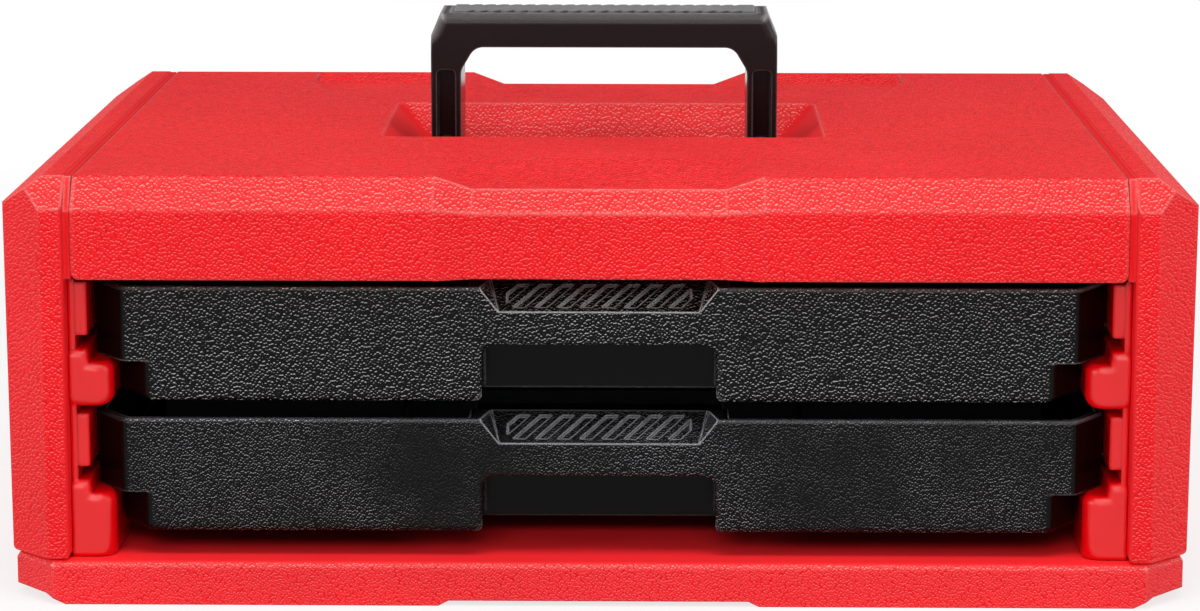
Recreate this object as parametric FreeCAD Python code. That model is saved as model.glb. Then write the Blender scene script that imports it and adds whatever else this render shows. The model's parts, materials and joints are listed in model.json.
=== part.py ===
"""Portable two-drawer socket organizer box, moulded in plastic, with a fixed bridge handle.

Frame: millimetres, +Z up, front of the box towards -Y, +X to the right of someone facing the
front.  The origin is the bottom centre of the box, on the plane that the base rests on.
"""
import FreeCAD, Part
import math
import os

Vector = FreeCAD.Vector

# ---------------------------------------------------------------- driving dimensions (mm)
# heights, stacked from the floor up
base_height = 16.5        # underside of the base to the tray floor that the runners stand on
drawer_lift = 9.2         # tray floor to the underside of the lower drawer
drawer_height = 43.4
drawer_pitch = 50.0       # lower drawer to upper drawer
cover_gap = 4.1           # rim of the upper drawer to the lower edge of the cover
cover_height = 37.8       # lower edge of the cover to the top of the box

# widths and depths
body_depth = 335.0
drawer_width = 379.0
drawer_setback = 10.0     # drawer fronts behind the front of the box
drawer_rear_gap = 23.0    # rear of a drawer to the rear of the box
panel_thickness = 24.2    # end panels, at their widest
panel_draft = 0.9         # each end panel leans in by this much at its foot
base_inset = 1.1          # sides of the base inside the foot of the end panels

# walls and clearances
wall = 3.0                # outer mouldings
rib = 2.4                 # stiffening ribs
side_gap = 1.0            # drawer side to guide block
run_gap = 0.3             # drawer ledge to rail
seam = 0.3                # between mouldings that are screwed together
seat_gap = 0.2            # under loose and screwed pieces
slot_depth = 4.4          # how far the guide blocks stand off the runner plate
runner_wall = 2.4

# edges of the cover and the end panels
front_bevel_depth = 9.0
rear_bevel_depth = 12.0
bevel_height = 11.5
side_bevel_width = 16.0
side_bevel_height = 11.0
corner_cut = 15.5         # plan chamfer on the vertical corners of panels and base
edge_round = 2.5
cover_foot_round = 3.0    # lower side edges of the cover
cover_rim_round = 0.9     # its edges along the end panels

# drawers
ledge_height = 15.2       # narrow lower part of a drawer
ledge_width = 9.0         # how much narrower it is on each side
drawer_corner = 12.0      # rear corners
front_corner_width = 11.5 # chamfered front corners, along the front
front_corner_depth = 17.0 # and along the side
front_corner_round = 5.0
drawer_wall = 3.0
bottom_round = 3.0
rim_round = 1.2
pull_half = 46.0          # finger opening
pull_height = 21.6
pull_depth = 25.0
pull_corner = 5.0
pull_edge = 2.2
pull_flare = 5.5          # lower corners of the finger opening
scoop_half_top = 45.6     # thumb scoop over the finger opening
scoop_half_bottom = 37.0
scoop_half_back = 40.8
scoop_drop = 9.1
scoop_depth = 17.0
groove_pitch = 8.3        # diagonal grip grooves in the scoop
groove_width = 3.4
groove_depth = 1.0
groove_lean = 36.0        # degrees from the front-to-back direction
groove_side_margin = 2.7
groove_margin = 2.9

# runners
rail_gap = 0.7            # lower part of a drawer to the inner face of a rail
rail_guide_gap = 2.9      # lower guide block's top to the upper rail
rail_shoulder = 5.1       # outer top of a rail above its running face
rail_round = 3.2          # top inner edge and front top edges
rail_belly = 5.0          # lower inner edge of the upper rail
rail_nose = 7.0           # front inner corner
rail_front = 7.0          # front of the rails behind the front of the box
shoulder_run = 0.7        # the shoulder's inner face leans back by this much
guide_slot = 5.0          # clear height between a rail's shoulder and the guide block
guide_over = 1.6          # guide block's top above the rim of its drawer
guide_round = 1.6
plate_setback = 9.0       # front edge of the runner plate behind the front of the box
runner_drop = 1.2         # top of the runner plate under the cover's lower edge
flange_start = 30.0       # front end of the flange behind the drawer's front
flange_height = 4.0       # anti-tip flange on each drawer side
flange_engage = 2.0       # how far it reaches under the guide block
stop_length = 12.0        # stop lug at the flange's rear end
stop_engage = 1.6         # how far the lugs overlap
stop_width = 6.0          # the runner's own lug
drawer_hold = 62.0        # length of a drawer that stays in the box at full travel
travel_spare = 0.5        # left between the stop lugs at full travel
rear_flange = 7.0
rear_flange_reach = 14.0
cover_tab_half = 13.0     # tabs that the cover is screwed to
cover_tab_over = 11.0     # tab top above the screws

# back panel
back_pad = 3.0            # thicker strips down both sides, where the screws go
back_tongue_height = 8.0  # laps this far up behind the cover's rear skirt
back_tongue_root = 6.0
back_cells = 10
back_field_depth = 1.2    # shallow fields outside
back_field_middle = 12.0
back_field_side = 6.0
back_field_end = 14.0

# end panel relief
field_end = 38.0          # recess in the outer face: to the front and rear
field_foot = 24.0
field_head = 16.0
field_depth = 1.6
field_round = 8.0
lip_setback = 2.5         # lip along the cover, behind the front face and the bevels
lip_drop = 0.3            # and below the top face
panel_edge_round = 2.0

# cover relief
band_half = 47.0          # recessed centre band
band_slope = 14.0
band_depth = 5.0
band_front_floor = 17.0   # behind the front of the box
band_front_end = 55.0
band_rear_start = 102.0   # in front of the rear of the box
band_rear_floor = 90.0
well_side_room = 4.2      # on the floor of the handle well, beside the handle
well_end_room = 20.75     # and in front of it and behind it
well_depth = 14.0
well_round = 5.0
pocket_inner = 70.0       # shallow pockets beside the band, at the rear
pocket_outer_front = 115.0
pocket_outer_rear = 130.0
pocket_splay_end = 45.0   # in front of the rear of the box
pocket_low = 25.0
pocket_end = 12.0
pocket_depth = 3.5

# base relief
foot_edge = 20.2          # outer edge of the feet to the side of the base
foot_inner = 60.0
foot_step = 4.0
arch_height = 2.0
toe_width = 7.5           # bottom edge rises over this width at each end, then runs out level
toe_lift = 3.6
end_lift = 4.4

# handle
handle_height = 45.2      # top of the handle above the top of the box
handle_depth = 34.0
handle_offset = -2.25     # its middle, from the middle of the box's depth
handle_half = 69.8
handle_taper = 3.8        # its top is narrower by this much on each side
handle_shoulder = 9.0
handle_bar = 13.7
handle_leg = 12.1
handle_round = 3.5
crook_width = 5.6         # sloping inside corners, with rounded ends
crook_height = 9.4
crook_round = 6.0
handle_screw_pitch = 18.0
core_margin = 2.4         # hollow in the front and back of each leg
core_depth = 9.0
core_top = 22.3           # above the top of the box
core_foot = 6.0
core_round = 2.0
pad_end_margin = 5.0      # grip pad let into the top of the handle
pad_side_margin = 4.0
pad_thickness = 2.4
pad_proud = 0.6
pad_round = 0.5
notch_pitch = 5.4         # slanting serrations along the pad's edges
notch_width = 2.4
notch_reach = 3.2
notch_depth = 1.8
notch_margin = 6.0
tenon_length = 28.0
tenon_width = 7.0
retainer_thickness = 2.4
retainer_width = 24.0
retainer_length = 38.0
retainer_round = 3.0

# rib grids, counted in cells across
base_x_cells = 10
base_y_cells = 8
cover_x_cells = 10
cover_y_cells = 8
panel_y_cells = 9
panel_z_cells = 3
rail_cells = 9
panel_cell_margin = 24.0
panel_cell_foot = 6.0

# fasteners
screw_r = 2.0
screw_head_r = 3.8
screw_head_h = 2.6
screw_head_round = 0.8
recess_half = 2.35        # cross recess
recess_width = 0.9
recess_depth = 1.3
screw_fit = 0.05
head_clearance = 0.4
boss_wall = 3.0
short_screw = 12.0
long_screw = 18.0
back_screw = 9.0
head_sink = 0.4           # heads below the face that they are sunk into
base_seat = 7.2           # underside of the base to the seats of its screws
panel_screw_inset = 10.5  # base screws in an end panel
cover_screw_height = 14.0
back_screw_foot = 14.0
back_screw_head = 12.0
back_screw_count = 4

# drawer fittings
insert_gap = 0.6
insert_round = 2.0        # lower edges of trays and dividers, clear of the drawer's own round
tray_floor = 2.4
tray_rim = 9.0
divider_thickness = 2.0
divider_height = 27.0
guide_rib = 1.6
guide_rib_reach = 2.4
divider_corner = 4.0
post_height = 16.0
post_tip = 1.6
post_taper = 0.7
post_sink = 0.5           # posts run this far into the tray's floor
tray_standoff = 3.5       # middle of the long divider to the socket tray
# distance of the long divider behind the drawer's front, half the distance between the short
# dividers, and the rows of posts: (post radius, posts, share of the tray's depth)
drawer_fittings = {
    "lower": (118.0, 78.0, ((6.2, 6, 1.3), (6.2, 7, 1.1), (6.2, 8, 1.0))),
    "upper": (92.0, 66.0, ((4.6, 8, 1.25), (4.6, 9, 1.1), (3.1, 11, 0.95), (3.1, 13, 0.85))),
}

# ---------------------------------------------------------------- derived positions
front = -body_depth / 2
rear = body_depth / 2
drawer_half = drawer_width / 2
guide_face = drawer_half + side_gap
plate_inner = guide_face + slot_depth
plate_outer = plate_inner + runner_wall
panel_inner = plate_outer + seat_gap
body_half = panel_inner + panel_thickness
foot_half = body_half - panel_draft
base_half = foot_half - base_inset
foot_outer = base_half - foot_edge
cover_half = plate_inner - seam
rail_inner = drawer_half - ledge_width + rail_gap
back_tongue_half = rail_inner - wall
groove_half_span = scoop_half_bottom - groove_side_margin

lower_bottom = base_height + drawer_lift
upper_bottom = lower_bottom + drawer_pitch
cover_bottom = upper_bottom + drawer_height + cover_gap
body_height = cover_bottom + cover_height
bevel_foot = body_height - bevel_height
panel_bottom = base_height + seam

drawer_front = front + drawer_setback
drawer_rear = rear - drawer_rear_gap
drawer_travel = drawer_rear - drawer_front - drawer_hold
handle_y = handle_offset
handle_half_top = handle_half - handle_taper
pad_half = handle_half_top - pad_end_margin
pad_depth = handle_depth - 2 * pad_side_margin
well_floor = body_height - well_depth
well_half = handle_half + well_side_room + well_depth
well_front = handle_y - handle_depth / 2 - well_end_room - well_depth
well_rear = handle_y + handle_depth / 2 + well_end_room + well_depth
handle_top = body_height + handle_height
handle_under = handle_top - handle_bar
back_face = rear - wall
runner_rear = back_face - back_pad - seat_gap
runner_top = cover_bottom - runner_drop
lug_rear = drawer_rear - stop_length - drawer_travel - travel_spare

screw_hole_r = screw_r + screw_fit
head_hole_r = screw_head_r + head_clearance
boss_r = screw_r + boss_wall
head_seat = screw_head_h + head_sink
cover_screw_z = cover_bottom + cover_screw_height
runner_foot_x = (plate_outer + rail_inner) / 2
panel_foot_x = panel_inner + panel_screw_inset
back_screw_x = plate_outer - rear_flange_reach / 2
drawer_bottoms = {"lower": lower_bottom, "upper": upper_bottom}
rail_feet = {"lower": panel_bottom, "upper": lower_bottom + drawer_height + guide_over + rail_guide_gap}


# ---------------------------------------------------------------- helpers
def block(x0, x1, y0, y1, z0, z1):
    """A box between two opposite corners."""
    return Part.makeBox(x1 - x0, y1 - y0, z1 - z0, Vector(x0, y0, z0))


def face_of(points):
    """A flat face with straight sides."""
    return Part.Face(Part.makePolygon(points + points[:1]))


def prism_x(outline, x0, x1):
    """Extrude a (y, z) outline along X."""
    return face_of([Vector(x0, y, z) for y, z in outline]).extrude(Vector(x1 - x0, 0, 0))


def prism_y(outline, y0, y1):
    """Extrude an (x, z) outline along Y."""
    return face_of([Vector(x, y0, z) for x, z in outline]).extrude(Vector(0, y1 - y0, 0))


def prism_z(outline, z0, z1):
    """Extrude an (x, y) outline along Z."""
    return face_of([Vector(x, y, z0) for x, y in outline]).extrude(Vector(0, 0, z1 - z0))


def mirrored(shape):
    """The same piece on the other side of the box."""
    return shape.mirror(Vector(0, 0, 0), Vector(1, 0, 0))


def both_sides(shape):
    """A shape and its mirror image, as a list."""
    return [shape, mirrored(shape)]


def fused(shapes):
    """One shape from several that touch or overlap."""
    result = shapes[0]
    if len(shapes) > 1:
        result = result.multiFuse(shapes[1:])
    return result.removeSplitter()


def fillet_where(shape, radius, wanted):
    """Round the edges for which wanted(edge) is true."""
    edges = [edge for edge in shape.Edges if wanted(edge)]
    return shape.makeFillet(radius, edges)


def spans(edge, **limits):
    """True if the edge's box lies at the given values, such as z=(z0, z1) or y=y0."""
    box = edge.BoundBox
    ends = {"x": (box.XMin, box.XMax), "y": (box.YMin, box.YMax), "z": (box.ZMin, box.ZMax)}
    for axis, value in limits.items():
        low, high = value if isinstance(value, tuple) else (value, value)
        if ends[axis][0] < low - 0.01 or ends[axis][1] > high + 0.01:
            return False
    return True


def rounded_box(x0, x1, y0, y1, z0, z1, radius):
    """A box with round vertical edges."""
    body = block(x0, x1, y0, y1, z0, z1)
    return fillet_where(body, radius, lambda edge: spans(edge, x=x0, y=y0) or spans(edge, x=x0, y=y1)
                        or spans(edge, x=x1, y=y0) or spans(edge, x=x1, y=y1))


def grid(low, high, count):
    """Cells of equal size between low and high, parted by ribs: a list of (start, end)."""
    size = (high - low - (count - 1) * rib) / count
    return [(low + i * (size + rib), low + i * (size + rib) + size) for i in range(count)]


def middle(cell):
    """Centre of a (start, end) cell."""
    return (cell[0] + cell[1]) / 2


def rod(radius, start, direction, length):
    """A cylinder from start along a direction."""
    return Part.makeCylinder(radius, length, Vector(*start), Vector(*direction))


def screw(seat, direction, length):
    """A pan-head screw with a cross recess; its head's underside is at seat."""
    head = rod(screw_head_r, (0, 0, -screw_head_h), (0, 0, 1), screw_head_h)
    head = fillet_where(head, screw_head_round, lambda edge: spans(edge, z=-screw_head_h))
    shank = rod(screw_r, (0, 0, 0), (0, 0, 1), length)
    body = fused([head, shank])
    floor = recess_depth - screw_head_h
    for half_x, half_y in ((recess_half, recess_width / 2), (recess_width / 2, recess_half)):
        body = body.cut(block(-half_x, half_x, -half_y, half_y, -screw_head_h - 1, floor))
    turn = FreeCAD.Rotation(Vector(0, 0, 1), Vector(*direction))
    body.Placement = FreeCAD.Placement(Vector(*seat), turn)
    return body


def save(node, shape):
    """Write one node."""
    shape.exportStep("parts/" + node + ".step")


# ---------------------------------------------------------------- shared outlines
panel_rows = grid(front + panel_cell_margin, rear - panel_cell_margin, panel_y_cells)
fix_ys = [middle(cell) for cell in panel_rows[1::3]]
base_screw_spots = [(x, y) for x in (runner_foot_x, panel_foot_x) for y in fix_ys]


def side_outline(bottom):
    """The (y, z) outline that the cover and the end panels share."""
    return [(front, bottom), (front, bevel_foot), (front + front_bevel_depth, body_height),
            (rear - rear_bevel_depth, body_height), (rear, bevel_foot), (rear, bottom)]


def plan_outline(half):
    """The (x, y) outline of the whole box, with chamfered corners."""
    right = [(half - corner_cut, front), (half, front + corner_cut),
             (half, rear - corner_cut), (half - corner_cut, rear)]
    left = [(-x, y) for x, y in reversed(right)]
    return right + left


def slide_levels(bottom):
    """Heights of the running face, the shoulder and the guide block's two ends, for one drawer."""
    run = bottom + ledge_height - run_gap
    shoulder = run + rail_shoulder
    return run, shoulder, shoulder + guide_slot, bottom + drawer_height + guide_over


def bevel_inset(run, offset, z):
    """Distance behind the face at which a bevel, moved inward by offset, reaches height z."""
    slope = bevel_height / run
    return (z - bevel_foot + offset * math.hypot(1, slope)) / slope


def bevel_level(run, offset, inset):
    """Height of a bevel, moved inward by offset, at a distance behind the face."""
    slope = bevel_height / run
    return bevel_foot + inset * slope - offset * math.hypot(1, slope)


# ---------------------------------------------------------------- base tray
def base_tray():
    """Floor of the box, ribbed underneath, raised at the middle and towards the ends."""
    half_profile = [(0, arch_height), (foot_inner - foot_step, arch_height), (foot_inner, 0),
                    (foot_outer, 0), (foot_outer + toe_width, toe_lift), (base_half, end_lift),
                    (base_half, base_height), (0, base_height)]
    right = prism_y(half_profile, front, rear)
    body = fused(both_sides(right))
    body = body.common(prism_z(plan_outline(base_half), 0, base_height))
    body = fillet_where(body, edge_round, lambda edge: spans(edge, z=base_height))
    cells_x = grid(-foot_outer + 2 * wall, foot_outer - 2 * wall, base_x_cells)
    cells_y = grid(front + 2 * wall, rear - 2 * wall, base_y_cells)
    roof = base_height - wall
    cavity = [block(x[0], x[1], y[0], y[1], -1, roof) for x in cells_x for y in cells_y]
    bosses = []
    holes = []
    for x, y in base_screw_spots:
        bosses += both_sides(rod(head_hole_r + boss_wall, (x, y, -1), (0, 0, 1), base_height))
        hole = rod(screw_hole_r, (x, y, 0), (0, 0, 1), base_height + 1)
        holes += both_sides(hole.fuse(rod(head_hole_r, (x, y, -1), (0, 0, 1), base_seat + 1)))
    cavity = Part.makeCompound(cavity).cut(Part.makeCompound(bosses))
    return body.cut(cavity).cut(Part.makeCompound(holes)).removeSplitter()


# ---------------------------------------------------------------- end panels
def panel_envelope():
    """Outer form of the right end panel."""
    section = [(panel_inner, panel_bottom), (foot_half, panel_bottom),
               (body_half, body_height - side_bevel_height),
               (body_half - side_bevel_width, body_height), (panel_inner, body_height)]
    body = prism_y(section, front, rear)
    body = body.common(prism_x(side_outline(panel_bottom), panel_inner, body_half))
    return body.common(prism_z(plan_outline(body_half), panel_bottom, body_height))


def panel_field():
    """Shallow recess in the outer face of the right end panel."""
    low = panel_bottom + field_foot
    high = body_height - side_bevel_height - field_head
    y0 = front + field_end
    y1 = rear - field_end
    lean = panel_draft / (body_height - side_bevel_height - panel_bottom)
    floor_low = foot_half + lean * (low - panel_bottom) - field_depth
    floor_high = foot_half + lean * (high - panel_bottom) - field_depth
    section = [(floor_low, low), (body_half + 1, low), (body_half + 1, high), (floor_high, high)]
    window = block(floor_low - 1, body_half + 2, y0, y1, low, high)
    window = fillet_where(window, field_round, lambda edge: edge.BoundBox.XLength > 1)
    return window.common(prism_y(section, y0 - 1, y1 + 1))


def lip_outline(deeper):
    """The (y, z) outline of the lip along the cover, or of the space inside it."""
    inset = lip_setback + deeper
    top = body_height - lip_drop - deeper
    front_knee = bevel_level(front_bevel_depth, inset, inset)
    rear_knee = bevel_level(rear_bevel_depth, inset, inset)
    return [(front + inset, cover_bottom), (front + inset, front_knee),
            (front + front_bevel_depth + deeper / 2, top), (rear - rear_bevel_depth - deeper / 2, top),
            (rear - inset, rear_knee), (rear - inset, cover_bottom)]


def end_panel():
    """Right end panel: a textured shell, ribbed inside, screwed on over the runner plate."""
    body = panel_envelope()
    body = fillet_where(body, panel_edge_round, lambda edge: spans(edge, x=panel_inner, y=front))
    body = fillet_where(body, edge_round, lambda edge: spans(edge, z=panel_bottom)
                        and edge.BoundBox.XMax > panel_inner + wall)
    lip = prism_x(lip_outline(0), cover_half + seam, panel_inner + 1)
    lip = lip.cut(prism_x(lip_outline(wall), cover_half, panel_inner + 2))
    body = fused([body, lip]).cut(panel_field())
    rows_z = grid(panel_bottom + panel_cell_foot, body_height - side_bevel_height - wall, panel_z_cells)
    cell_outer = foot_half - wall - field_depth
    cavity = [block(panel_inner - 1, cell_outer, y[0], y[1], z[0], z[1])
              for y in panel_rows for z in rows_z]
    bosses = [rod(boss_r, (panel_foot_x, y, panel_bottom), (0, 0, 1), long_screw + 2) for y in fix_ys]
    bosses += [rod(boss_r, (panel_inner, y, z), (1, 0, 0), panel_thickness) for y, z in side_screw_spots()]
    cavity = Part.makeCompound(cavity).cut(Part.makeCompound(bosses))
    depth = long_screw + 1
    holes = [rod(screw_hole_r, (panel_foot_x, y, panel_bottom - 1), (0, 0, 1), depth) for y in fix_ys]
    holes += [rod(screw_hole_r, (panel_inner - 1, y, z), (1, 0, 0), short_screw)
              for y, z in side_screw_spots()]
    return body.cut(cavity).cut(Part.makeCompound(holes)).removeSplitter()


# ---------------------------------------------------------------- runners
def side_screw_spots():
    """Where the end panel is screwed to the runner, through both guide blocks."""
    spots = []
    for bottom in drawer_bottoms.values():
        guide = slide_levels(bottom)[2:]
        spots += [(y, middle(guide)) for y in fix_ys]
    return spots


def rail(bottom, foot):
    """One rail of the right runner: rounded bulb with a running face and a raised shoulder."""
    run, shoulder = slide_levels(bottom)[:2]
    outline = [(plate_outer, foot), (rail_inner, foot), (rail_inner, run), (guide_face - shoulder_run, run),
               (guide_face, shoulder), (plate_outer, shoulder)]
    body = prism_y(outline, front + rail_front, runner_rear)
    body = fillet_where(body, rail_nose, lambda edge: spans(edge, x=rail_inner, y=front + rail_front))
    body = fillet_where(body, rail_round, lambda edge: edge.BoundBox.ZMin > run - 0.01
                        and edge.BoundBox.YMax < front + rail_front + rail_nose + 0.01
                        and not spans(edge, x=plate_outer))
    if foot > panel_bottom:
        body = fillet_where(body, rail_belly, lambda edge: spans(edge, x=rail_inner, z=foot))
    return body


def rail_cavities(bottom, foot):
    """Ribbed hollows in the back of a rail."""
    run = slide_levels(bottom)[0]
    cells = grid(front + panel_cell_margin, rear - panel_cell_margin, rail_cells)
    hollow = [block(rail_inner + wall, plate_outer + 1, y0, y1, foot + wall, run - wall) for y0, y1 in cells]
    return Part.makeCompound(hollow)


def runner():
    """Right runner: plate, two rails, two guide blocks, stop lugs, rear flange and cover tabs."""
    plate = block(plate_inner, plate_outer, front + plate_setback, runner_rear, panel_bottom, runner_top)
    pieces = [plate]
    hollows = []
    for level, bottom in drawer_bottoms.items():
        shoulder, guide, guide_top = slide_levels(bottom)[1:]
        foot = rail_feet[level]
        pieces.append(rail(bottom, foot))
        guide_block = block(guide_face, plate_inner + 1, drawer_front, runner_rear, guide, guide_top)
        pieces.append(fillet_where(guide_block, guide_round,
                                   lambda edge: spans(edge, x=guide_face, y=drawer_front)))
        pieces.append(block(plate_inner - stop_engage, plate_inner + 1, lug_rear - stop_width, lug_rear,
                            shoulder - 0.5, guide + 0.5))
        hollows.append(rail_cavities(bottom, foot))
    pieces.append(block(plate_outer - rear_flange_reach, plate_outer, runner_rear - rear_flange,
                        runner_rear, panel_bottom, runner_top))
    pieces += [block(plate_inner, plate_outer, y - cover_tab_half, y + cover_tab_half,
                     runner_top - 1, cover_screw_z + cover_tab_over) for y in fix_ys]
    body = fused(pieces)
    pillars = [rod(boss_r, (runner_foot_x, y, panel_bottom), (0, 0, 1), long_screw + 2) for y in fix_ys]
    body = body.cut(Part.makeCompound(hollows).cut(Part.makeCompound(pillars)))
    depth = long_screw + 1
    holes = [rod(screw_hole_r, (runner_foot_x, y, panel_bottom - 1), (0, 0, 1), depth) for y in fix_ys]
    holes += [rod(screw_hole_r, (plate_inner - 1, y, cover_screw_z), (1, 0, 0), slot_depth) for y in fix_ys]
    for y, z in side_screw_spots():
        holes.append(rod(screw_hole_r, (guide_face - 1, y, z), (1, 0, 0), panel_thickness))
        holes.append(rod(head_hole_r, (guide_face - 1, y, z), (1, 0, 0), 1 + head_seat))
    holes += [rod(screw_hole_r, (back_screw_x, runner_rear + 1, z), (0, -1, 0), rear_flange + 2)
              for z in back_screw_zs()]
    return body.cut(Part.makeCompound(holes)).removeSplitter()


# ---------------------------------------------------------------- back panel
def back_screw_zs():
    """Heights of the screws along each side of the back panel, into a runner's rear flange."""
    low = panel_bottom + back_screw_foot
    high = runner_top - back_screw_head
    return [low + (high - low) * i / (back_screw_count - 1) for i in range(back_screw_count)]


def back_panel():
    """Plate that closes the back, thicker down both sides, with two shallow fields outside."""
    half = plate_outer - seat_gap
    top = cover_bottom - seam
    body = block(-half, half, back_face, rear, panel_bottom, top)
    body = fillet_where(body, panel_edge_round, lambda edge: spans(edge, y=rear, x=half)
                        or spans(edge, y=rear, x=-half) or spans(edge, y=rear, z=top)
                        or spans(edge, y=rear, z=panel_bottom))
    inside = back_face - wall
    skin = back_face + 1
    root = top - back_tongue_root
    pad = block(plate_outer - rear_flange_reach, half, back_face - back_pad, skin, panel_bottom, top)
    tongue = block(-back_tongue_half, back_tongue_half, inside, back_face - seat_gap, root,
                   cover_bottom + back_tongue_height)
    web = block(-back_tongue_half, back_tongue_half, inside, skin, root, root + wall)
    xs = [back_tongue_half * (2 * i / back_cells - 1) for i in range(back_cells + 1)]
    stiffeners = [block(x - rib / 2, x + rib / 2, inside, skin, panel_bottom + wall, root + 1) for x in xs]
    body = fused([body, tongue, web] + both_sides(pad) + stiffeners)
    field = block(back_field_middle, back_tongue_half - back_field_side, rear - back_field_depth, rear + 1,
                  panel_bottom + back_field_end, top - back_field_end)
    field = fillet_where(field, field_round, lambda edge: edge.BoundBox.YLength > 1)
    holes = []
    for z in back_screw_zs():
        hole = rod(screw_hole_r, (back_screw_x, runner_rear, z), (0, 1, 0), rear - runner_rear)
        sink = rod(head_hole_r, (back_screw_x, rear - head_seat, z), (0, 1, 0), head_seat + 1)
        holes += both_sides(hole.fuse(sink))
    return body.cut(Part.makeCompound(both_sides(field) + holes)).removeSplitter()


# ---------------------------------------------------------------- cover
def inner_outline():
    """The (y, z) outline of the recessed band down the middle of the cover."""
    low = body_height - band_depth
    front_knee = bevel_level(front_bevel_depth, band_depth, band_depth)
    rear_knee = bevel_level(rear_bevel_depth, band_depth, band_depth)
    front_crest = bevel_inset(front_bevel_depth, band_depth, low)
    rear_crest = bevel_inset(rear_bevel_depth, band_depth, low)
    return [(front + band_depth, cover_bottom), (front + band_depth, front_knee), (front + front_crest, low),
            (front + band_front_floor, low), (front + band_front_end, body_height),
            (rear - band_rear_start, body_height), (rear - band_rear_floor, low),
            (rear - rear_crest, low), (rear - band_depth, rear_knee), (rear - band_depth, cover_bottom)]


def outer_outline():
    """The cover's plain (y, z) outline, with the same number of points as the band's."""
    return [(front, cover_bottom), (front, bevel_foot), (front + front_bevel_depth, body_height),
            (front + band_front_floor, body_height), (front + band_front_end, body_height),
            (rear - band_rear_start, body_height), (rear - band_rear_floor, body_height),
            (rear - rear_bevel_depth, body_height), (rear, bevel_foot), (rear, cover_bottom)]


def wire_at(outline, x):
    """A closed wire in the plane at x."""
    points = [Vector(x, y, z) for y, z in outline]
    return Part.makePolygon(points + points[:1])


def plain_cover():
    """The cover as it is outside the recessed band, with soft edges."""
    body = prism_x(side_outline(cover_bottom), -cover_half, cover_half)
    body = fillet_where(body, cover_foot_round, lambda edge: spans(edge, x=cover_half, z=cover_bottom)
                        or spans(edge, x=-cover_half, z=cover_bottom))
    ridges = lambda edge: edge.BoundBox.XLength > cover_half and edge.BoundBox.ZMin > cover_bottom + 1
    body = fillet_where(body, edge_round, ridges)
    rims = lambda edge: (spans(edge, x=cover_half) or spans(edge, x=-cover_half)) \
        and edge.BoundBox.ZMax > cover_bottom + cover_foot_round + 1
    return fillet_where(body, cover_rim_round, rims)


def well():
    """The handle well, with walls that slope at 45 degrees."""
    over = 2.0
    top = (well_half + over, well_front - over, well_rear + over)
    low = (well_half - well_depth, well_front + well_depth, well_rear - well_depth)
    wires = []
    for (half, y0, y1), z in ((top, body_height + over), (low, well_floor)):
        plate = rounded_box(-half, half, y0, y1, z, z + 1, well_round)
        bottom = [f for f in plate.Faces if abs(f.CenterOfMass.z - z) < 1e-6][0]
        wires.append(bottom.OuterWire)
    return Part.makeLoft(wires, True, True)


def rear_pocket():
    """Shallow pocket at the right rear, from a crease down to its low edge and up to a rim."""
    crease = rear - band_rear_start
    rim = rear - pocket_end
    section = [(crease, body_height + 1), (crease, body_height),
               (rear - pocket_low, body_height - pocket_depth),
               (rim, body_height), (rim, body_height + 1)]
    body = prism_x(section, pocket_inner, pocket_outer_rear)
    plan = [(pocket_inner, crease), (pocket_outer_front, crease),
            (pocket_outer_rear, rear - pocket_splay_end),
            (pocket_outer_rear, rim), (pocket_inner, rim)]
    return body.common(prism_z(plan, body_height - 2 * pocket_depth, body_height + 1))


def surface_height(x, y):
    """Height of the cover's top surface at a point, or the lowest that its relief could make it."""
    x = abs(x)
    in_band = x < band_half + band_slope and not front + band_front_end < y < rear - band_rear_start
    offset = band_depth if in_band else 0.0
    height = min(body_height - offset, bevel_level(front_bevel_depth, offset, y - front),
                 bevel_level(rear_bevel_depth, offset, rear - y))
    if y > rear - band_rear_start and band_half < x < pocket_outer_rear:
        height = min(height, body_height - pocket_depth)
    if x < well_half and well_front < y < well_rear:
        height = well_floor
    return height


def cover_cavity():
    """The ribbed hollow under the cover: one cell at a time, each as high as the roof allows."""
    margin = band_depth + wall
    cells_x = grid(-cover_half + wall, cover_half - wall, cover_x_cells)
    cells_y = grid(front + margin, rear - margin, cover_y_cells)
    samples = 6
    cells = []
    for x0, x1 in cells_x:
        for y0, y1 in cells_y:
            heights = [surface_height(x0 + (x1 - x0) * i / samples, y0 + (y1 - y0) * j / samples)
                       for i in range(samples + 1) for j in range(samples + 1)]
            cells.append(block(x0, x1, y0, y1, cover_bottom - 1, min(heights) - wall))
    bosses = []
    for y in fix_ys:
        start = (cover_half - wall - short_screw, y, cover_screw_z)
        bosses += both_sides(rod(boss_r, start, (1, 0, 0), short_screw))
    tongue_room = block(-back_tongue_half - seam, back_tongue_half + seam, rear - margin - rib, back_face,
                        cover_bottom - 1, cover_bottom + back_tongue_height + seam)
    return Part.makeCompound(cells).cut(Part.makeCompound(bosses)).fuse(tongue_room)


def retainer_spots():
    """Centre of each leg of the handle."""
    return [side * (handle_half - handle_leg / 2) for side in (-1, 1)]


def handle_screw_ys():
    """Two screws in each leg."""
    return [handle_y - handle_screw_pitch / 2, handle_y + handle_screw_pitch / 2]


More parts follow.
